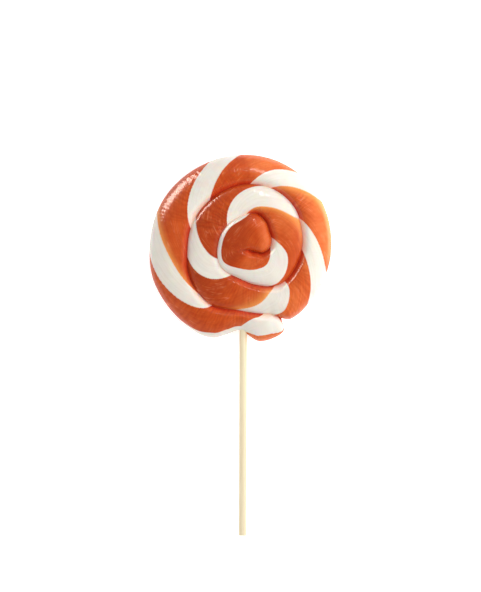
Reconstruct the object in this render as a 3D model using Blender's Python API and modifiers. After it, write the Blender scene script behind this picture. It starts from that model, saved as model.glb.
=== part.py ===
"""A swirl lollipop: one rope of pulled sugar coiled on itself, on a round wooden stick.

It lies on its flat back on the plane z = 0, with the stick along -Y and the shown face up. The origin is
the middle of the candy's back.
"""

import math

import bmesh
import bpy
import numpy as np

MM = 0.001

# The rope is coiled about the eye, a point inside its rounded nose. Angles count anticlockwise from +X.
EYE = (6.8, 3.2)
NOSE_ANGLE = 208.0
STEP = 4.0
TURN = 90  # steps in one turn
STEPS = 290  # steps along the whole rope
TAIL_ANGLE = NOSE_ANGLE + STEPS * STEP

# Radius of the rope's outer edge from the eye, in mm, where it changes: the nose and core, the second
# turn, the outer turn, and the tail lobe beyond the notch over the stick.
OUTER_EDGE = (
    (208, 7.9), (235, 5.4), (265, 5.2), (300, 6.5), (340, 7.0), (385, 6.9), (425, 9.5), (455, 11.9),
    (485, 12.3), (515, 14.3), (545, 16.6), (578, 19.3), (605, 18.4), (632, 19.8), (660, 22.2),
    (690, 21.0), (725, 20.6), (765, 22.4), (810, 24.6), (845, 26.0), (880, 28.5), (908, 30.4),
    (932, 33.6), (953, 34.8), (978, 31.7), (1000, 32.9), (1014, 37.9), (1032, 36.1),
    (1055, 34.3), (1088, 33.2), (1130, 34.6), (1160, 36.6), (1200, 40.2), (1240, 45.0), (1262, 46.8),
    (1284, 48.6), (1318, 48.3), (1326, 47.0), (1332, 43.8), (1340, 40.4), (1353, 44.6), (1363, 43.3),
    (1366.6, 42.1), (1368, 40.9),
)

# Heights above the table, in mm: the crest of the rope, and its lip, which is the floor of the groove
# while another turn lies outside it and the widest line of the rim on the last turn.
CREST = ((208, 13.6), (568, 13.6), (760, 13.0), (1000, 12.2), (1300, 11.8), (1368, 11.4))
RIM = 6.0
TOP_LIP = (
    (208, 13.6), (228, 11.5), (255, 9.4), (430, 9.4), (490, 11.0), (560, 11.0), (640, 9.2), (990, 8.8),
    (1008, 7.6),
)
BOTTOM_LIP = ((208, 0.0), (235, 0.8), (270, 2.4), (990, 2.8), (1008, 4.2))

# How far the rounding runs in from the outer and the inner edge of the visible band, in mm, and the most
# that it may take of a narrow band. The power sets how full the rounding is: less on the last turn's rim,
# which was pressed to a slope.
OUTER_ROUND = 9.0
INNER_ROUND = 3.4
OUTER_SHARE = 0.85
INNER_SHARE = 0.4
BACK_ROUND = 4.5
BACK_SHARE = 0.45
FULLNESS = 2.2
RIM_FULLNESS = 1.6
PRESSED_OVER = 30.0  # degrees over which the pressed rim begins
TAIL_ROUND = 3.0  # length of the rounded tail end, in steps
TAIL_BLUNT = 0.45  # height left at its end face
TOP_COLUMNS = 7
BACK_COLUMNS = 5

# The stick is set into the candy's edge at mid-thickness. The part inside isn't seen.
STICK_RADIUS = 1.7
STICK_BOTTOM = -127.0
STICK_DEPTH = 34.0  # length inside the candy
STICK_X = 1.2
STICK_LEAN = 0.18  # degrees, bottom end towards -X
CANDY_BOTTOM = -36.6
STICK_SIDES = 32
STICK_EDGE = 0.15
GAP = 0.3  # clearance round the stick
POCKET_OVERRUN = 12.0  # how far the pocket's cutter runs past the candy's edge

GROOVE_ANGLE = 40.0  # degrees between faces past which an edge is drawn sharp
WELD = 0.001


def curve_through(stations):
    """A smooth function that passes through (position, value) stations."""
    places, values = np.array(stations, float).T
    steepness = np.diff(values) / np.diff(places)
    before, after = steepness[:-1], steepness[1:]
    same_way = before * after > 0
    # The harmonic mean keeps the curve from swinging past a station where it turns.
    slopes = np.zeros(len(places))
    slopes[1:-1][same_way] = (2 * before * after)[same_way] / (before + after)[same_way]

    def value(position):
        position = min(max(position, places[0]), places[-1])
        i = min(int(np.searchsorted(places, position, side="right")) - 1, len(places) - 2)
        span = places[i + 1] - places[i]
        t = (position - places[i]) / span
        rise = t * t * (3 - 2 * t)
        bend = span * t * (1 - t) * ((1 - t) * slopes[i] - t * slopes[i + 1])
        return values[i] + (values[i + 1] - values[i]) * rise + bend

    return value


outer_edge = curve_through(OUTER_EDGE)
crest = curve_through(CREST)
top_lip = curve_through(TOP_LIP)
bottom_lip = curve_through(BOTTOM_LIP)


def rounding(distance, reach, fullness=FULLNESS):
    """0 at an edge and 1 from a distance of reach inwards, as a full quarter round."""
    left = max(0.0, 1.0 - distance / reach)
    return (1.0 - left**fullness) ** (1.0 / fullness)


def rim_fullness(angle):
    """Fullness of the outer rounding on the top."""
    share = min(max((angle - TAIL_ANGLE + 360.0) / PRESSED_OVER, 0.0), 1.0)
    return FULLNESS + (RIM_FULLNESS - FULLNESS) * share * share * (3.0 - 2.0 * share)


def lip(angle, side):
    """Height of the rope's outer lip: a groove's floor, or the rim once no turn lies outside."""
    if angle > TAIL_ANGLE - 360.0:
        return RIM
    return top_lip(angle) if side > 0 else bottom_lip(angle)


def inner_radius(angle):
    """The outer edge of the turn before, or the eye in the first turn."""
    before = angle - 360.0
    return outer_edge(before) if before >= NOSE_ANGLE else 0.0


def height(angle, radius, side, inner, first):
    """Height of the top (side 1) or of the back (side -1) over one point of a section."""
    outer = outer_edge(angle)
    band = outer - inner
    if side > 0:
        middle = crest(angle)
        reaches = min(OUTER_ROUND, OUTER_SHARE * band), min(INNER_ROUND, INNER_SHARE * band)
    else:
        middle = 0.0
        reaches = (min(BACK_ROUND, BACK_SHARE * band),) * 2
    fullness = rim_fullness(angle) if side > 0 else FULLNESS
    z = lip(angle, side) + (middle - lip(angle, side)) * rounding(outer - radius, reaches[0], fullness)
    if not first:
        dip = max(0.0, 1.0 - (radius - inner) / reaches[1]) ** FULLNESS
        z -= (middle - lip(angle - 360.0, side)) * dip
    from_tail = (TAIL_ANGLE - angle) / STEP
    if from_tail < TAIL_ROUND:
        share = min(1.0, (radius - inner) / INNER_ROUND)
        flat = math.sqrt(1.0 - (1.0 - from_tail / TAIL_ROUND) ** 2)
        z = RIM + (z - RIM) * (1.0 + share * (max(TAIL_BLUNT, flat) - 1.0))
    return z


def section(step, side, columns, first):
    """Points across the rope from its inner to its outer edge.

    The first turn starts at the eye. Its sections have two runs of columns, which meet on the start of
    the crease under the nose: the second run opens as the rope leaves it.
    """
    angle = NOSE_ANGLE + step * STEP
    outer = outer_edge(angle)
    inner = 0.0 if first else inner_radius(angle)
    even = np.linspace(0.0, 1.0, columns + 1)
    across = np.sin(even * math.pi / 2)  # closer together towards the steep outer edge
    if first:
        crease = outer_edge(NOSE_ANGLE)
        share = 1.0 + (crease / outer_edge(NOSE_ANGLE + 360.0) - 1.0) * step / TURN
        runs = [share * even * outer, outer * (share + (1.0 - share) * across[1:])]
        radii = np.concatenate(runs)
    else:
        radii = inner + (outer - inner) * across
    turned = math.radians(angle)
    return [
        (
            (EYE[0] + r * math.cos(turned)) * MM,
            (EYE[1] + r * math.sin(turned)) * MM,
            height(angle, r, side, inner, first) * MM,
        )
        for r in radii
    ]


def loft(mesh, sections, side):
    """Faces between neighbouring sections, facing up on the top and down on the back."""
    rows = [[mesh.verts.new(point) for point in points] for points in sections]
    for near, far in zip(rows, rows[1:]):
        for i in range(len(near) - 1):
            corners = [near[i], near[i + 1], far[i + 1], far[i]]
            mesh.faces.new(corners if side > 0 else corners[::-1])
    return rows


def candy_mesh():
    """The coiled rope as one closed body: its top and its back, lofted from section to section."""
    mesh = bmesh.new()
    sheets = {}
    for side, columns in ((1, TOP_COLUMNS), (-1, BACK_COLUMNS)):
        loft(mesh, [section(i, side, columns, True) for i in range(TURN + 1)], side)
        sheets[side] = loft(mesh, [section(i, side, columns, False) for i in range(TURN, STEPS + 1)], side)
    top, back = sheets[1], sheets[-1]
    mesh.faces.new(top[-1] + back[-1][::-1])  # the tail's blunt end
    # Beside the tail's end, the grooves of top and back run out on to the rim.
    last = STEPS - 2 * TURN
    mesh.faces.new([top[last][-1], back[last][-1], top[last + 1][-1]])
    bmesh.ops.remove_doubles(mesh, verts=mesh.verts, dist=WELD * MM)
    bmesh.ops.dissolve_degenerate(mesh, edges=mesh.edges, dist=WELD * MM)
    bmesh.ops.triangulate(mesh, faces=[face for face in mesh.faces if len(face.verts) > 4])
    bmesh.ops.recalc_face_normals(mesh, faces=mesh.faces)
    data = bpy.data.meshes.new("candy_swirl")
    mesh.to_mesh(data)
    mesh.free()
    data.shade_smooth()
    data.set_sharp_from_angle(angle=math.radians(GROOVE_ANGLE))
    return data


def add_round_bar(name, radius, top, bottom):
    """An upright primitive cylinder laid along the stick's line, from top down to bottom."""
    lean = math.radians(STICK_LEAN)
    length = (top - bottom) / math.cos(lean)
    middle = (top + bottom) / 2
    beside = (CANDY_BOTTOM - middle) * math.tan(lean)
    bpy.ops.mesh.primitive_cylinder_add(
        vertices=STICK_SIDES,
        radius=radius * MM,
        depth=length * MM,
        location=((STICK_X - beside) * MM, middle * MM, RIM * MM),
        rotation=(math.radians(90), 0, -lean),
    )
    bar = bpy.context.object
    bar.name = name
    bar.data.name = name
    bar.data.shade_smooth()
    bar.data.set_sharp_from_angle(angle=math.radians(GROOVE_ANGLE))
    return bar


def add_material(thing, name, colour, roughness):
    material = bpy.data.materials.new(name)
    material.use_nodes = True
    shader = material.node_tree.nodes["Principled BSDF"]
    shader.inputs["Base Color"].default_value = (*colour, 1)
    shader.inputs["Roughness"].default_value = roughness
    shader.inputs["Metallic"].default_value = 0
    thing.data.materials.append(material)


def move_to(thing, collection):
    for old in thing.users_collection:
        old.objects.unlink(thing)
    collection.objects.link(thing)


def build():
    for old in list(bpy.data.objects):
        bpy.data.objects.remove(old, do_unlink=True)
    parts = bpy.data.collections.new("swirl_lollipop")
    cutters = bpy.data.collections.new("cutters")
    bpy.context.scene.collection.children.link(parts)
    bpy.context.scene.collection.children.link(cutters)

    candy = bpy.data.objects.new("candy_swirl", candy_mesh())
    parts.objects.link(candy)
    add_material(candy, "orange_and_white_sugar", (0.56, 0.09, 0.02), 0.18)

    stick = add_round_bar("stick", STICK_RADIUS, CANDY_BOTTOM + STICK_DEPTH, STICK_BOTTOM)
    move_to(stick, parts)
    add_material(stick, "birch", (0.86, 0.72, 0.47), 0.6)
    edge = stick.modifiers.new("eased ends", "BEVEL")
    edge.width = STICK_EDGE * MM
    edge.segments = 1
    edge.angle_limit = math.radians(60)

    pocket = add_round_bar(
        "stick_pocket",
        STICK_RADIUS + GAP,
        CANDY_BOTTOM + STICK_DEPTH + GAP,
        CANDY_BOTTOM - POCKET_OVERRUN,
    )
    move_to(pocket, cutters)
    pocket.hide_render = True
    pocket.display_type = "WIRE"
    cut = candy.modifiers.new("stick pocket", "BOOLEAN")
    cut.operation = "DIFFERENCE"
    cut.object = pocket


build()
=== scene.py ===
"""A swirl lollipop, lying face up on a pale table: a coiled rope of striped pulled sugar on a birch stick."""

import math

import bpy
import numpy as np
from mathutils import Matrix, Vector


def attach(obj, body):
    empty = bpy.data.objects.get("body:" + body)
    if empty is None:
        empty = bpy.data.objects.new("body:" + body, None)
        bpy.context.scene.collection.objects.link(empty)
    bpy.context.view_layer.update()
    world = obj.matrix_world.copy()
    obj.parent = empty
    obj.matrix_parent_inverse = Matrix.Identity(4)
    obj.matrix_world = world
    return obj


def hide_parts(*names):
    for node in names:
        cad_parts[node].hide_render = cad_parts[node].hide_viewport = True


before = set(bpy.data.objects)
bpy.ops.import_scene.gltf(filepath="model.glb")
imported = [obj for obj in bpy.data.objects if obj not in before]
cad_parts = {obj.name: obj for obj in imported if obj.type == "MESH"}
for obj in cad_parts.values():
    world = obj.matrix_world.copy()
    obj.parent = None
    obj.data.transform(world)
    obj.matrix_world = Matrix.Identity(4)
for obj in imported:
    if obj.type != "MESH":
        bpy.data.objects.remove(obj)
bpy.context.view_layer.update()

# The sweet: one rope of pulled sugar, striped orange and white, twisted and coiled on itself while soft.
# Its turns fuse where they touch, which leaves a groove between them. The confectioner starts at the nose
# in the middle and presses the tail against the coil over the stick.
MM = 0.001
EYE = (6.8, 3.2)
FOLD = (17.4, -3.8)
NOSE_ANGLE = 208.0
TAIL_ANGLE = 1368.0
TURN = 900  # sections in one turn
STEP = 360.0 / TURN
SECTIONS = round((TAIL_ANGLE - NOSE_ANGLE) / STEP)

# Radius of the rope's outer edge from the eye, in mm, by the angle anticlockwise from +X.
OUTER_EDGE = (
    (208, 7.9), (235, 5.4), (265, 5.2), (300, 6.5), (340, 7.0), (385, 6.9), (425, 9.5), (455, 11.9),
    (485, 12.3), (515, 14.3), (545, 16.6), (578, 19.3), (605, 18.4), (632, 19.8), (660, 22.2),
    (690, 21.0), (725, 20.6), (765, 22.4), (810, 24.6), (845, 26.0), (880, 28.5), (908, 30.4),
    (932, 33.6), (953, 34.8), (978, 31.7), (1000, 32.9), (1014, 37.9), (1032, 36.1),
    (1055, 34.3), (1088, 33.2), (1130, 34.6), (1160, 36.6), (1200, 40.2), (1240, 45.0), (1262, 46.8),
    (1284, 48.6), (1318, 48.3), (1326, 47.0), (1332, 43.8), (1340, 40.4), (1353, 44.6), (1363, 43.3),
    (1366.6, 42.1), (1368, 40.9),
)

# Heights above the table in mm: the rope's crest, and the floor of the groove outside each turn. The last
# turn's outer edge is its widest line, at the rim's height.
CREST = ((208, 13.6), (568, 13.6), (760, 13.0), (1000, 12.2), (1300, 11.8), (1368, 11.4))
RIM = 6.0
TOP_GROOVE = ((208, 13.6), (228, 11.5), (255, 9.4), (430, 9.4), (490, 11.0), (560, 11.0), (640, 9.2),
              (990, 8.8), (1008, 8.6))
BACK_GROOVE = ((208, 0.0), (235, 0.8), (270, 2.4), (990, 2.8), (1008, 2.9))
TAIL_ROUND = 12.0  # degrees over which the tail's end rounds off

# How far the rope stands out in cross ridges, left by the hands that pulled and rolled it.
RIDGED = ((208, 0.0), (540, 0.0), (610, 0.4), (640, 0.6), (660, 0.2), (780, 0.3), (800, 0.6), (820, 0.2),
          (850, 0.9), (885, 0.8), (905, 0.15), (930, 0.3), (960, 0.7), (1020, 0.7), (1045, 0.9),
          (1070, 0.3), (1106, 0.3), (1122, 1.4), (1132, 0.3), (1141, 0.2), (1147, 0.9), (1153, 0.2),
          (1180, 0.3), (1205, 0.75), (1222, 0.75), (1240, 0.6), (1254, 0.2), (1280, 0.25), (1305, 0.8),
          (1345, 1.0), (1360, 0.3))

# Widths in mm of the strands that show only along an edge: white along the outer edge of the first turn and
# of the tail, orange under the tail, and orange at the tail's end beside the turn inside it. A width far
# below 0 is no strand.
NONE = -120.0
NOSE_WHITE = ((208, -6.0), (452, -1.0), (462, 0.0), (476, 1.2), (495, 1.6), (568, 1.9), (600, 3.6))
TAIL_WHITE = ((1290, NONE), (1305, -0.3), (1316, 0.8), (1325, 2.2), (1331, 2.4), (1335, 2.3), (1339.5, 1.9),
              (1343, 4.3), (1345.7, 6.8), (1350, 9.9), (1354.6, 11.5), (1359, 13.0), (1368, 13.0))
TAIL_ORANGE = ((1300, NONE), (1341, -0.5), (1346, 1.3), (1350, 2.2), (1355, 2.6), (1359, 2.3), (1363, 1.5),
               (1368, 0.6))
END_ORANGE = ((1364, NONE), (1366, -0.4), (1367, 1.4), (1368, 3.6))

# Where each change of colour lies, in degrees: at the inner groove, at one and at two thirds of the way
# across, and at the outer edge. They change in turn to white and to orange.
STRIPES = (
    (695, 655, 605, 490), (730, 707, 690, 645), (830, 798, 765, 746), (873, 856, 835, 802),
    (926, 914, 898, 878), (955, 945, 932, 914), (1012, 1002, 993, 974), (1025, 1023, 1014, 1004),
    (1068, 1054, 1042, 1028), (1107, 1089, 1070, 1055), (1154, 1141, 1126, 1110),
    (1176, 1166, 1155, 1137), (1219, 1205, 1193, 1180), (1250, 1234, 1217, 1200),
    (1304, 1279, 1261, 1244), (1316, 1309, 1293, 1267), (1374, 1372, 1370, 1368),
    (1460, 1450, 1440, 1430),
)
# Share of an orange stripe, beside the white that follows it, where the sugar is clear and amber. How much
# paler the orange is painted as light, from 0 to 1, mostly on the lit right, or below 0 how much browner as painted
# shade.
AMBER = ((208, 0.0), (640, 0.0), (720, 0.3), (770, 0.3), (830, 0.2), (900, 0.15), (980, 0.3), (1010, 0.25),
         (1090, 0.4), (1130, 0.36), (1155, 0.25), (1225, 0.12), (1255, 0.28), (1290, 0.32), (1312, 0.1),
         (1368, 0.08))
PAINTED_SIDE_LIGHT = ((208, -0.3), (300, 0.4), (390, 0.6), (460, 0.1), (500, -0.6), (575, -0.7), (610, 0.4), (640, 0.2),
         (711, 0.1), (744, 0.5), (800, 0.2), (840, -0.1), (880, -0.6), (950, -0.6), (970, 0.1), (1000, 0.4),
         (1024, 0.6), (1038, 0.3), (1053, 0.75), (1084, 0.85), (1105, 0.65), (1125, 0.4), (1156, 1.0),
         (1167, 0.8), (1183, 0.05), (1210, 0.05), (1240, 0.1), (1290, 0.1), (1320, 0.0), (1336, 0.1), (1348, 0.7),
         (1368, 1.0))
# How strongly light shows through the rope's outer edge.
LIT_EDGE = ((208, 0.0), (700, 0.0), (730, 0.5), (755, 0.4), (780, 0.0), (1058, 0.0), (1075, 0.7), (1118, 1.0),
            (1128, 0.6), (1138, 0.0), (1368, 0.0))
BACK_LEAN = 50.0  # degrees by which a stripe leans across the back
BACK_CORE = (215, 330, 440, 540, 600, 655)  # the first changes on the back, at the outer edge


def curve_through(stations, places):
    """Values at places on a smooth curve through (position, value) stations that never swings past them."""
    at, values = np.array(stations, float).T
    steepness = np.diff(values) / np.diff(at)
    before, after = steepness[:-1], steepness[1:]
    same_way = before * after > 0
    slopes = np.zeros(len(at))
    slopes[1:-1][same_way] = (2 * before * after)[same_way] / (before + after)[same_way]
    places = np.clip(places, at[0], at[-1])
    i = np.clip(np.searchsorted(at, places, side="right") - 1, 0, len(at) - 2)
    span = at[i + 1] - at[i]
    t = (places - at[i]) / span
    bend = span * t * (1 - t) * ((1 - t) * slopes[i] - t * slopes[i + 1])
    return values[i] + (values[i + 1] - values[i]) * t * t * (3 - 2 * t) + bend


def rope_guide():
    """A line of points along the rope's outer edge. Each carries what the rope's section needs there."""
    angle = NOSE_ANGLE + STEP * np.arange(SECTIONS + 1)
    outer = curve_through(OUTER_EDGE, angle)
    outer[-1] = outer[-1 - TURN]  # the tail closes on the turn inside it
    inner = np.concatenate([np.zeros(TURN), outer[:-TURN]])
    turned = np.radians(angle)
    middle = (inner + outer) / 2
    moved = np.hypot(np.diff(middle * np.cos(turned)), np.diff(middle * np.sin(turned)))
    last_turn = angle > TAIL_ANGLE - 360
    left = np.clip((TAIL_ANGLE - 360 - angle) / TAIL_ROUND, 0, 1)
    closing = np.sqrt(1 - (1 - left) ** 2)
    fullness = {}
    for name, groove in (("top_lip", TOP_GROOVE), ("back_lip", BACK_GROOVE)):
        lip = RIM + (curve_through(groove, angle) - RIM) * closing
        fullness[name] = np.where(last_turn, RIM, lip)
    rounding_off = np.clip((TAIL_ANGLE - angle) / TAIL_ROUND, 0, 1)
    crease = 1 + (outer[0] / outer[TURN] - 1) * np.minimum(np.arange(SECTIONS + 1) / TURN, 1)
    carried = {
        "angle": angle,
        "along": np.concatenate([[0], np.cumsum(moved)]),
        "crest": curve_through(CREST, angle),
        "tail": np.sqrt(1 - (1 - rounding_off) ** 2),
        "crease": crease,
        "ridged": curve_through(RIDGED, angle),
        "nose_white": curve_through(NOSE_WHITE, angle),
        "tail_white": curve_through(TAIL_WHITE, angle),
        "tail_orange": curve_through(TAIL_ORANGE, angle),
        "end_orange": curve_through(END_ORANGE, angle),
        "amber": curve_through(AMBER, angle),
        # The orange painted paler where the light falls and browner in shade, by angle.
        "paler": curve_through(PAINTED_SIDE_LIGHT, angle),
        "lit_edge": curve_through(LIT_EDGE, angle),
        **fullness,
    }
    points = np.stack([EYE[0] + outer * np.cos(turned), EYE[1] + outer * np.sin(turned), 0 * outer], 1)
    mesh = bpy.data.meshes.new("rope guide")
    mesh.from_pydata(points, [], [])
    for name, values in carried.items():
        mesh.attributes.new(name, "FLOAT", "POINT").data.foreach_set("value", values.astype(np.float32))
    guide = bpy.data.objects.new("rope guide", mesh)
    bpy.context.scene.collection.objects.link(guide)
    return guide


def pick(sockets, name):
    """The socket in use that has this number, name or identifier."""
    if isinstance(name, int):
        return sockets[name]
    return next(s for s in sockets if s.enabled and name in (s.name, s.identifier))


class Wire:
    """A socket of a node tree. Sums on it add Math nodes, and node() adds a node of any other kind."""

    def __init__(self, tree, socket=None):
        self.tree = tree
        self.socket = socket

    def __getitem__(self, name):
        return Wire(self.tree, pick(self.socket.node.outputs, name))

    def node(self, kind, settings=None, sockets=None, output=0):
        made = self.tree.nodes.new(kind)
        for name, value in (settings or {}).items():
            if name == "stops":
                for i, (place, colour) in enumerate(value):
                    stop = made.color_ramp.elements[i] if i < 2 else made.color_ramp.elements.new(place)
                    stop.position = place
                    stop.color = (*colour, 1)
            else:
                setattr(made, name, value)
        for name, value in (sockets or {}).items():
            target = pick(made.inputs, name)
            for one in value if isinstance(value, list) else [value]:
                if isinstance(one, Wire):
                    self.tree.links.new(one.socket, target)
                else:
                    target.default_value = one
        return Wire(self.tree, pick(made.outputs, output))

    def math(self, operation, *values):
        return self.node("ShaderNodeMath", {"operation": operation}, dict(enumerate(values)))

    def __add__(self, other):
        return self.math("ADD", self, other)

    def __radd__(self, other):
        return self.math("ADD", other, self)

    def __sub__(self, other):
        return self.math("SUBTRACT", self, other)

    def __rsub__(self, other):
        return self.math("SUBTRACT", other, self)

    def __mul__(self, other):
        return self.math("MULTIPLY", self, other)

    def __rmul__(self, other):
        return self.math("MULTIPLY", other, self)

    def __truediv__(self, other):
        return self.math("DIVIDE", self, other)

    def __rtruediv__(self, other):
        return self.math("DIVIDE", other, self)

    def __pow__(self, other):
        return self.math("POWER", self, other)

    def at_least(self, other):
        return self.math("MAXIMUM", self, other)

    def at_most(self, other):
        return self.math("MINIMUM", self, other)

    def smooth(self, low, high):
        """0 below low and 1 above high, with a soft rise between."""
        return self.node(
            "ShaderNodeMapRange",
            {"interpolation_type": "SMOOTHSTEP"},
            {"Value": self, "From Min": low, "From Max": high},
        )

    def noise(self, vector, scale=1.0, detail=2.0, roughness=0.5):
        """Noise from about -1 to 1 over a vector."""
        sockets = {"Vector": vector, "Scale": scale, "Detail": detail, "Roughness": roughness}
        return self.node("ShaderNodeTexNoise", {}, sockets) * 2 - 1

    def vector(self, x, y, z=0.0):
        return self.node("ShaderNodeCombineXYZ", {}, {"X": x, "Y": y, "Z": z})

    def vectors(self, operation, *values, output=0):
        return self.node("ShaderNodeVectorMath", {"operation": operation}, dict(enumerate(values)), output)


def geometry_tree(name, inputs):
    """A Geometry Nodes tree with these named inputs, as (tree, its inputs, a function that sets its result)."""
    tree = bpy.data.node_groups.new(name, "GeometryNodeTree")
    for label, kind in inputs:
        tree.interface.new_socket(name=label, in_out="INPUT", socket_type="NodeSocket" + kind)
    tree.interface.new_socket(name="Geometry", in_out="OUTPUT", socket_type="NodeSocketGeometry")
    given = Wire(tree, tree.nodes.new("NodeGroupInput").outputs[0])
    end = tree.nodes.new("NodeGroupOutput")
    return tree, given, lambda result: tree.links.new(result.socket, end.inputs[0])


def rounded(distance, reach, fullness):
    """0 at an edge and 1 from a distance of reach inwards, as a full quarter round."""
    left = (1 - distance / reach).at_least(0)
    return (1 - left**fullness).at_least(0) ** (1 / fullness)


def rope_face(name, up, stripes):
    """The tree for one face of the rope, top (up 1) or back (up 0): a grid laid from edge to edge."""
    tree, given, finish = geometry_tree(name, (
        ("Guide", "Geometry"), ("Eye", "Vector"), ("From Eye", "Float"), ("First Section", "Int"),
        ("Sections", "Int"), ("Core Columns", "Int"), ("Columns", "Int"), ("Thinning", "Int"),
        ("Outer Round", "Float"), ("Outer Share", "Float"), ("Inner Round", "Float"),
        ("Inner Share", "Float"), ("Relief", "Float"),
    ))
    points = given["Core Columns"] + given["Columns"] + 1
    grid = given.node("GeometryNodeMeshGrid", {}, {
        "Vertices X": given["Sections"] + 1, "Vertices Y": points,
    })
    index = given.node("GeometryNodeInputIndex")
    row = ((index + 0.5) / points).math("FLOOR", ((index + 0.5) / points))
    column = index - row * points
    # Away from the two edges only every few sections are kept, where the rope is small.
    skipped = row.math("MODULO", row, given["Thinning"])
    edge = column.math("COMPARE", column, points - 1, 0.5) + column.math("COMPARE", column, 0, 0.5)
    section = row - skipped * (1 - edge) + given["First Section"]

    def read(attribute, place, kind="FLOAT"):
        if attribute == "position":
            value = given.node("GeometryNodeInputPosition")
        else:
            value = given.node("GeometryNodeInputNamedAttribute", {"data_type": kind}, {"Name": attribute})
        sampled = {"Geometry": given["Guide"], "Value": value, "Index": place + 0.5}
        return given.node("GeometryNodeSampleIndex", {"data_type": kind, "domain": "POINT"}, sampled)

    from_eye = given["From Eye"]
    outer = read("position", section, "FLOAT_VECTOR")
    turn_before = read("position", (section - TURN).at_least(0), "FLOAT_VECTOR")
    inner = given.node("ShaderNodeMix", {"data_type": "VECTOR"}, {
        "Factor": from_eye, "A": turn_before, "B": given["Eye"],
    }, "Result")
    band = outer.vectors("DISTANCE", outer, inner, output="Value")
    crease = read("crease", section) * from_eye
    in_core = column / given["Core Columns"].at_least(1)
    spread = ((column - given["Core Columns"]) / given["Columns"]).at_least(0)
    # Closer together towards both edges, where the face is steep.
    spread = spread * 0.3 + (0.5 - 0.5 * spread.math("COSINE", spread * math.pi)) * 0.7
    across = crease * in_core.at_most(1) + (1 - crease) * spread
    from_inner = across * band
    from_outer = (1 - across) * band

    crest = read("crest", section) * up
    lip_name = "top_lip" if up else "back_lip"
    lip = read(lip_name, section)
    lip_inside = read(lip_name, (section - TURN).at_least(0))
    outer_reach = given["Outer Round"].at_most(band * given["Outer Share"])
    fullness = 2.2 - read("angle", section).smooth(TAIL_ANGLE - 360, TAIL_ANGLE - 330) * 0.6 * up
    inner_reach = given["Inner Round"].at_most(band * given["Inner Share"])
    dip = (1 - from_inner / inner_reach).at_least(0) ** 2.2 * (1 - from_eye)
    body = lip + (crest - lip) * rounded(from_outer, outer_reach, fullness) - (crest - RIM) * dip
    height = RIM + (body - RIM) * read("tail", section) + (lip_inside - RIM) * dip
    flat = given.node("ShaderNodeMix", {"data_type": "VECTOR"}, {
        "Factor": across, "A": inner, "B": outer,
    }, "Result")
    placed = given.node("GeometryNodeSetPosition", {}, {
        "Geometry": grid, "Position": (flat + 0).vectors("ADD", flat, given.vector(0, 0, height)),
    })
    if up:
        placed = placed.node("GeometryNodeFlipFaces", {}, {"Mesh": placed})

    # The stripes' coordinate: each change of colour adds one on the way along the rope.
    angle = read("angle", section)
    along = read("along", section)
    places = []
    for a, b, c, d in stripes:
        # The cubic through the four angles, in powers of the share across.
        powers = np.linalg.solve(np.vander(np.array([0, 1, 2, 3]) / 3), (a, b, c, d))
        place = powers[0]
        for power in powers[1:]:
            place = across * place + power
        places.append(place)
    stripe = 1 + ((angle - places[0]) / 60).at_most(0).at_least(-0.95)
    for near, far in zip(places, places[1:]):
        share = (angle - near) / (far - near)
        stripe = stripe + share.at_least(0).at_most(1)
    if up:
        first = 1 + ((read("nose_white", section) - from_outer) / 6).at_least(-0.95).at_most(0.9)
        white = 17 + ((read("tail_white", section) - from_outer) / 6).at_most(0.9)
        orange = (read("tail_orange", section) - from_outer).at_least(read("end_orange", section) - from_inner)
        later = stripe.at_least(white).at_least(18 + (orange / 6).at_most(orange / 0.4).at_most(0.6))
        begun = angle.smooth(NOSE_ANGLE + 360, NOSE_ANGLE + 395)
        stripe = first + (later - first) * begun

    # The fibres follow the stripes. On the nose they are arcs about the point where the rope was folded.
    nose_side = (from_inner - crease * band).smooth(0, 4)
    on_nose = (1 - angle.smooth(NOSE_ANGLE + 292, NOSE_ANGLE + 360) * nose_side) * (
        1 - angle.smooth(NOSE_ANGLE + 360, NOSE_ANGLE + 392))
    fold = given.vector(*FOLD)
    arc = flat.vectors("DISTANCE", flat, fold, output="Value") / 6 - 2.8
    sweep = flat.vectors("DOT_PRODUCT", flat, (0.7, 0.7, 0.0), output="Value")
    fibre = stripe + (arc - stripe) * on_nose
    run = along + (sweep - along) * on_nose

    # Relief in mm, which ends at both edges: folds and creases along the fibres, ridges across the rope, and
    # slow unevenness.
    wander = given.noise(given.vector(along * 0.12, from_outer * 0.15), detail=1.0)
    fine_wave = along.math("SINE", along * (2 * math.pi / 1.3) + wander * 5)
    broad_wave = along.math("SINE", along * (2 * math.pi / 2.5) + wander * 7)
    broad_share = given.noise(given.vector(along * 0.2, from_outer * 0.2, 13), detail=0.0).smooth(-0.35, 0.35)
    wave = fine_wave + (broad_wave * 1.3 - fine_wave) * broad_share
    patchy = (given.noise(given.vector(along * 0.35, from_outer * 0.3, 7)) * 1.4 + 0.7).at_least(0).at_most(1.3)
    white = (0.5 - stripe.math("ABSOLUTE", stripe.math("FLOORED_MODULO", stripe, 2) - 1.5)).smooth(-0.1, 0.1)
    ridges = wave * patchy * read("ridged", section) * (1 - white * 0.4)
    folds = given.noise(given.vector(fibre * 7.0, run * 0.07), detail=1.5)
    fine = given.noise(given.vector(fibre * 19.0, run * 0.12, 4), detail=0.0)
    wrinkle = given.noise(given.vector(fibre * 3.2, run * 0.03, 9), detail=0.0)
    creases = (1 - wrinkle.math("ABSOLUTE", wrinkle) * (9 - white * 4)).at_least(0)
    uneven = given.noise(flat, scale=0.16, detail=1.0)
    relief = ridges * 0.055 + folds * (0.05 + white * 0.02) + fine * (0.02 - white * 0.017) + uneven * 0.08
    relief = relief - creases * (0.03 + white * 0.07)
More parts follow.
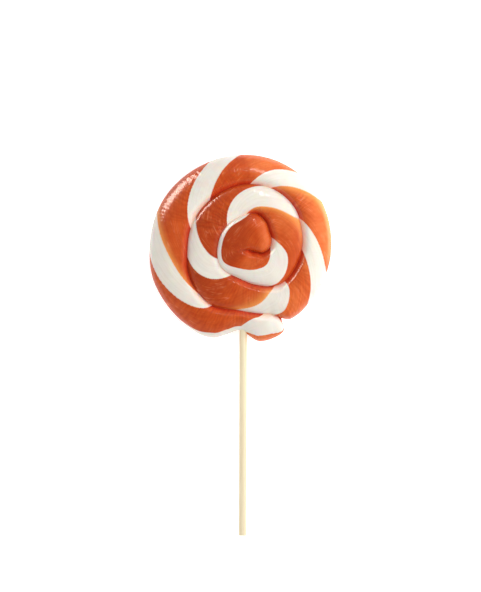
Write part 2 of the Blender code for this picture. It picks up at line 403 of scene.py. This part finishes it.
    # The nose lies on the start of the second turn, so the first turn is smooth there.
    under_nose = (from_inner - crease * band).smooth(0.0, 1.2)
    seam = angle.smooth(NOSE_ANGLE + 330, NOSE_ANGLE + 360) * (1 - under_nose)
    clear = 1 - from_eye * (1 - angle.smooth(NOSE_ANGLE, NOSE_ANGLE + 20) * (1 - seam))
    kept = from_inner.smooth(0.0, from_eye * 4 + 1.2) * from_outer.smooth(0.0, 0.8) * clear * read("tail", section)
    placed = placed.node("GeometryNodeStoreNamedAttribute", {"data_type": "FLOAT", "domain": "POINT"}, {
        "Geometry": placed, "Name": "relief", "Value": relief * kept * given["Relief"],
    })
    # The nose is painted browner on the left and paler on the right, and the rope is painted paler or browner by
    # side: painted light and painted shade.
    east = given.node("ShaderNodeSeparateXYZ", {}, {"Vector": flat})["X"]
    nose_painted_light = ((east - EYE[0]) / 8).at_least(-0.7).at_most(0.6)
    paler = read("paler", section)
    paler = paler + (nose_painted_light - paler) * from_eye
    # mm from a groove, taken as more where the groove is shallow: the sugar's painted groove shade and glow follow
    # it, and its gloss dulls by it.
    shallow = 1 - (given.math("ABSOLUTE", crest - lip_inside) / 2.4).at_most(1)
    outer_groove = from_outer * 3.4 + 0.7 + angle.smooth(TAIL_ANGLE - 362, TAIL_ANGLE - 358) * 9
    groove = (from_inner + shallow * 3).at_most(outer_groove)
    # Held by the faces' corners, so that the turns on both sides of a groove keep their own after the weld.
    for name, values in (
        ("rope", given.vector(run, groove, stripe)),
        ("tint", given.vector(paler, read("amber", section), from_outer)),
        ("fibre", given.vector(fibre, read("lit_edge", section), ridges)),
    ):
        kept_by_point = given.node("GeometryNodeFieldOnDomain", {"data_type": "FLOAT_VECTOR", "domain": "POINT"}, {
            "Value": values,
        })
        placed = placed.node("GeometryNodeStoreNamedAttribute", {
            "data_type": "FLOAT_VECTOR", "domain": "CORNER",
        }, {"Geometry": placed, "Name": name, "Value": kept_by_point})
    finish(placed)
    return tree


top_face = rope_face("rope top", 1, STRIPES)
back_stripes = [(r - BACK_LEAN, r - BACK_LEAN * 2 / 3, r - BACK_LEAN / 3, r)
                for r in (*BACK_CORE, *(s[3] for s in STRIPES[2:]))]
back_face = rope_face("rope back", 0, back_stripes)

coil, given, finish = geometry_tree("coiled rope", (
    ("Guide", "Geometry"), ("Eye", "Vector"), ("Sections in a Turn", "Int"), ("Sections", "Int"),
    ("Top Columns", "Int"), ("Back Columns", "Int"), ("Height", "Float"), ("Sugar", "Material"),
))
faces = []
for face, columns, core, rounds in (
    (top_face, given["Top Columns"], 8, (9.0, 0.85, 3.4, 0.4, 1.0)),
    (back_face, given["Back Columns"], 5, (4.5, 0.45, 4.5, 0.45, 0.5)),
):
    shape = dict(zip(("Outer Round", "Outer Share", "Inner Round", "Inner Share", "Relief"), rounds))
    common = {"Guide": given["Guide"], "Eye": given["Eye"], "Columns": columns, **shape}
    faces.append(given.node("GeometryNodeGroup", {"node_tree": face}, {
        **common, "From Eye": 1.0, "First Section": 0, "Sections": given["Sections in a Turn"],
        "Core Columns": core, "Thinning": 3,
    }))
    faces.append(given.node("GeometryNodeGroup", {"node_tree": face}, {
        **common, "From Eye": 0.0, "First Section": given["Sections in a Turn"],
        "Sections": given["Sections"] - given["Sections in a Turn"], "Core Columns": 0,
        "Thinning": 1 if face is top_face else 2,
    }))
joined = given.node("GeometryNodeJoinGeometry", {}, {"Geometry": faces[::-1]})
welded = given.node("GeometryNodeMergeByDistance", {}, {"Geometry": joined, "Distance": 0.002})
relief = given.node("GeometryNodeInputNamedAttribute", {"data_type": "FLOAT"}, {"Name": "relief"})
outwards = given.node("ShaderNodeVectorMath", {"operation": "SCALE"}, {
    0: given.node("GeometryNodeInputNormal"), "Scale": relief,
})
raised = given.node("GeometryNodeSetPosition", {}, {"Geometry": welded, "Offset": outwards})
level = given.node("ShaderNodeSeparateXYZ", {}, {"Vector": given.node("GeometryNodeInputPosition")})
inside = given.vector(level["X"], level["Y"], level["Z"].at_least(0).at_most(given["Height"]))
kept_low = given.node("GeometryNodeSetPosition", {}, {"Geometry": raised, "Position": inside})
sized = given.node("GeometryNodeTransform", {}, {"Geometry": kept_low, "Scale": (MM, MM, MM)})
smooth = given.node("GeometryNodeSetShadeSmooth", {}, {"Geometry": sized})
real = given.node("GeometryNodeRealizeInstances", {}, {"Geometry": smooth})
finish(given.node("GeometryNodeSetMaterial", {}, {"Geometry": real, "Material": given["Sugar"]}))


def material_tree(name):
    """A new material with its shader, and a wire to start its other nodes from."""
    material = bpy.data.materials.new(name)
    material.use_nodes = True
    tree = material.node_tree
    return material, tree.nodes["Principled BSDF"], Wire(tree)


def striped_sugar():
    """Glossy pulled sugar. Rope holds mm along, mm from a groove, and the stripes' coordinate; tint holds
    how much the orange is painted paler as light or browner as shade, how wide its amber edge is, and mm from
    the outer edge; fibre holds the place across the fibres, how much light comes through the rim, and the ridges.
    """
    material, shader, start = material_tree("striped sugar")

    def parts_of(name):
        held = start.node("ShaderNodeAttribute", {"attribute_name": name}, output="Vector")
        return start.node("ShaderNodeSeparateXYZ", {}, {"Vector": held})

    def mixed(factor, a, b, blend="MIX"):
        return start.node("ShaderNodeMix", {"data_type": "RGBA", "blend_type": blend}, {
            "Factor": factor, "A": a, "B": b,
        }, "Result")

    rope, tint, pulled = parts_of("rope"), parts_of("tint"), parts_of("fibre")
    fibre, lit_edge, ridges = pulled["X"], pulled["Y"], pulled["Z"]
    along, groove, stripe = rope["X"], rope["Y"], rope["Z"]
    paler, amber_share, from_outer = tint["X"], tint["Y"], tint["Z"]
    place = start.node("ShaderNodeTexCoord", output="Object")
    ragged = start.noise(start.vector(along * 0.8, from_outer * 0.8), detail=2.0) * 0.012
    stripe = stripe + ragged

    # White lies between an odd and an even change of colour.
    white_depth = 0.5 - start.math("ABSOLUTE", start.math("FLOORED_MODULO", stripe, 2) - 1.5)
    white = white_depth.smooth(-0.02, 0.03)
    strand = start.math("FLOORED_MODULO", stripe, 4) - 2
    inside = strand.math("LESS_THAN", strand, 1.02) * strand.math("GREATER_THAN", strand, 0.0)
    amber = ((strand - 1) / amber_share.at_least(0.01) + 1).at_most(1).at_least(0) * inside

    pull = start.noise(start.vector(fibre * 14.0, along * 0.09, 3.0), detail=2.5, roughness=0.5)
    cloud = start.noise(place, scale=220.0, detail=2.0)
    # Random tone from the pull and the cloud, with painted shade in the ridges' hollows and painted light on their
    # crests.
    tone_and_ridge_shade = pull * 0.5 + cloud * 0.45 + ridges * 0.25
    deep_orange = mixed(tone_and_ridge_shade.smooth(-0.8, 0.8), (0.44, 0.041, 0.004, 1), (0.66, 0.108, 0.014, 1))
    # Paler and browner copies of the orange: painted lit and painted shaded copies, mixed in by side.
    painted_lit_orange = mixed(tone_and_ridge_shade.smooth(-0.8, 0.8), (0.63, 0.112, 0.021, 1), (0.82, 0.22, 0.058, 1))
    painted_shaded_orange = mixed(tone_and_ridge_shade.smooth(-0.8, 0.8), (0.30, 0.030, 0.004, 1), (0.46, 0.058, 0.010, 1))
    # Towards the grooves the painted light fades, as painted groove shade.
    painted_groove_shade = 1 - groove.smooth(0.5, 7.5)
    orange = mixed((paler * (1.2 - painted_groove_shade * 0.75)).at_least(0), mixed((0 - paler).at_least(0), deep_orange, painted_shaded_orange), painted_lit_orange)
    # Here and there a thin pale line is painted along a fibre, as painted sheen.
    thread = start.noise(start.vector(fibre * 8.0, along * 0.06, 11.0), detail=1.0)
    painted_fibre_sheen = (1 - start.math("ABSOLUTE", thread) * 16).at_least(0) * cloud.smooth(-0.1, 0.4)
    orange = mixed(painted_fibre_sheen * 0.35, orange, (0.86, 0.34, 0.17, 1))
    edged = mixed(amber * amber * 0.85, orange, (0.86, 0.36, 0.09, 1))
    # Light comes through the rope's thin outer edge on the side it falls on.
    lit_through = (1 - from_outer.smooth(0.3, 2.6)) * lit_edge
    edged = mixed(lit_through * 0.8, edged, (0.93, 0.42, 0.14, 1))
    milky = cloud * 0.2 + pull * 0.35
    milk = mixed(milky.smooth(-0.6, 0.4), (0.71, 0.65, 0.56, 1), (0.83, 0.79, 0.72, 1))
    colour = mixed(white, edged, milk)
    # Where a turn dives under its neighbour the colour is painted darker and redder as groove shade,
    # and a faint painted red glow stands in for light coming through the sugar.
    deep = 1 - groove.smooth(0.0, 2.4)
    colour = mixed(deep, colour, mixed(white, (0.92, 0.40, 0.45, 1), (1.0, 0.78, 0.68, 1)), "MULTIPLY")
    painted_groove_glow = mixed(deep, (0, 0, 0, 1), mixed(white, (0.30, 0.03, 0.01, 1), (0.90, 0.50, 0.42, 1)))
    across_pull = start.noise(start.vector(along * 1.5, groove * 0.2, 1.0), detail=2.0)
    relief = (pull * 0.6 + across_pull * 0.4) * (1 - white * 0.8)
    bump = start.node("ShaderNodeBump", {}, {"Height": relief, "Distance": 0.00006, "Strength": 0.6})
    tree = material.node_tree
    tree.links.new(colour.socket, shader.inputs["Base Color"])
    tree.links.new(bump.socket, shader.inputs["Normal"])
    # The painted red glow in the grooves.
    tree.links.new(painted_groove_glow.socket, shader.inputs["Emission Color"])
    dull = 0.2 + deep * 0.4
    tree.links.new(dull.socket, shader.inputs["Roughness"])
    shader.inputs["Subsurface Weight"].default_value = 0.5
    shader.inputs["Subsurface Radius"].default_value = (1.0, 0.35, 0.15)
    shader.inputs["Subsurface Scale"].default_value = 0.003
    shader.inputs["Emission Strength"].default_value = 0.18
    return material


def plain_mesh(thing, name):
    """A new object that holds what the thing's modifiers make, and the thing is removed."""
    evaluated = thing.evaluated_get(bpy.context.evaluated_depsgraph_get())
    mesh = bpy.data.meshes.new_from_object(evaluated)
    mesh.name = name
    bpy.data.objects.remove(thing)
    made = bpy.data.objects.new(name, mesh)
    bpy.context.scene.collection.objects.link(made)
    return made


guide = rope_guide()
winding = guide.modifiers.new("winding", "NODES")
winding.node_group = coil
sugar = striped_sugar()
chosen = {"Eye": (*EYE, 0.0), "Sections in a Turn": TURN, "Sections": SECTIONS, "Top Columns": 30,
          "Back Columns": 15, "Height": CREST[0][1], "Sugar": sugar}
for socket in coil.interface.items_tree:
    if socket.in_out == "INPUT" and socket.name in chosen:
        winding[socket.identifier] = chosen[socket.name]
candy = plain_mesh(guide, "coiled_sugar_rope")
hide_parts("candy_swirl")
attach(candy, "root")

# The stick: a round birch dowel, sanded and cut square, which the soft sugar was pressed round.
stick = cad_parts["stick"]
birch, shader, start = material_tree("birch")
place = start.node("ShaderNodeTexCoord", output="Object")
stretched = start.node("ShaderNodeMapping", {}, {"Vector": place, "Scale": (1600.0, 45.0, 1600.0)})
grain = start.noise(stretched, scale=1.0, detail=4.0)
wood = start.node("ShaderNodeMix", {"data_type": "RGBA"}, {
    "Factor": grain.smooth(-0.6, 0.6), "A": (0.80, 0.66, 0.42, 1), "B": (0.88, 0.77, 0.54, 1),
}, "Result")
along_pores = start.node("ShaderNodeMapping", {}, {"Vector": place, "Scale": (9000.0, 260.0, 9000.0)})
pores = start.noise(along_pores, scale=1.0, detail=1.0).smooth(0.3, 0.7)
flecked = start.node("ShaderNodeMix", {"data_type": "RGBA"}, {
    "Factor": pores * 0.4, "A": wood, "B": (0.60, 0.44, 0.24, 1),
}, "Result")
sanded = start.node("ShaderNodeBump", {}, {"Height": grain - pores, "Distance": 0.00004, "Strength": 0.5})
birch.node_tree.links.new(flecked.socket, shader.inputs["Base Color"])
birch.node_tree.links.new(sanded.socket, shader.inputs["Normal"])
shader.inputs["Roughness"].default_value = 0.6
stick.data.materials.clear()
stick.data.materials.append(birch)

# The table: a pale, plain sheet, lit from all round so that shadows stay faint.
floor_mesh = bpy.data.meshes.new("table")
HALF = 3.0
floor_mesh.from_pydata([(-HALF, -HALF, 0), (HALF, -HALF, 0), (HALF, HALF, 0), (-HALF, HALF, 0)], [], [(0, 1, 2, 3)])
table = bpy.data.objects.new("table", floor_mesh)
bpy.context.scene.collection.objects.link(table)
table.location.z = -0.0002
pale, shader, start = material_tree("pale table")
shader.inputs["Base Color"].default_value = (0.9, 0.9, 0.9, 1)
shader.inputs["Roughness"].default_value = 0.9
shader.inputs["Specular IOR Level"].default_value = 0.2
shader.inputs["Emission Color"].default_value = (1, 1, 1, 1)
shader.inputs["Emission Strength"].default_value = 0.6
floor_mesh.materials.append(pale)

# The light: a broad soft box on the right, a sheet overhead and a near wall light the candy without showing
# in it. A window at the upper left and a small ceiling lamp show only as reflections. The room is pale round
# the table and dim overhead.
world = bpy.data.worlds.new("room")
world.use_nodes = True
start = Wire(world.node_tree)
upwards = start.node("ShaderNodeTexCoord", output="Generated")
rise = start.node("ShaderNodeSeparateXYZ", {}, {"Vector": upwards})["Z"]
room = start.node("ShaderNodeMix", {"data_type": "RGBA"}, {
    "Factor": rise.smooth(0.35, 0.95), "A": (0.45, 0.45, 0.45, 1), "B": (0.06, 0.06, 0.06, 1),
}, "Result")
world.node_tree.links.new(room.socket, world.node_tree.nodes["Background"].inputs["Color"])
world.node_tree.nodes["Background"].inputs["Strength"].default_value = 1.0
bpy.context.scene.world = world


def lamp(name, azimuth, elevation, distance, size, radiance, lit=True, mirrored=True, colour=(1, 1, 1)):
    """A rectangular lamp aimed at the candy, this many degrees round from +X and up from the table. It may
    light the candy, be mirrored in it, or both.
    """
    round_by, up_by = math.radians(azimuth), math.radians(elevation)
    way = Vector((math.cos(up_by) * math.cos(round_by), math.cos(up_by) * math.sin(round_by), math.sin(up_by)))
    data = bpy.data.lights.new(name, "AREA")
    data.shape = "RECTANGLE"
    data.size, data.size_y = size
    data.color = colour
    data.energy = radiance * math.pi * size[0] * size[1]
    made = bpy.data.objects.new(name, data)
    made.location = way * distance
    made.rotation_euler = way.to_track_quat("Z", "Y").to_euler()
    made.visible_diffuse = lit
    made.visible_glossy = mirrored
    bpy.context.scene.collection.objects.link(made)


lamp("soft box", 22, 32, 0.35, (0.50, 0.50), 2.3, mirrored=False)
lamp("overhead sheet", 90, 89, 0.60, (1.0, 1.0), 0.75, mirrored=False)
lamp("near wall", 225, 25, 0.60, (0.70, 0.50), 0.8, mirrored=False)
lamp("window", 139, 15, 0.80, (0.42, 0.34), 17.0, lit=False, colour=(1.0, 0.88, 0.78))
lamp("ceiling lamp", 78, 54, 0.90, (0.07, 0.07), 40.0, lit=False)

# The camera looks straight down, from far enough away for an even scale over the whole lollipop.
VIEW_HEIGHT = 0.26048
VIEW_PLANE = 0.010
LENS = 300.0
camera = bpy.data.objects.new("camera", bpy.data.cameras.new("camera"))
camera.data.lens = LENS
camera.location = (0.0, -0.0214, VIEW_PLANE + VIEW_HEIGHT * LENS / camera.data.sensor_width)
bpy.context.scene.collection.objects.link(camera)
bpy.context.scene.camera = camera
bpy.context.scene.view_settings.view_transform = "Standard"
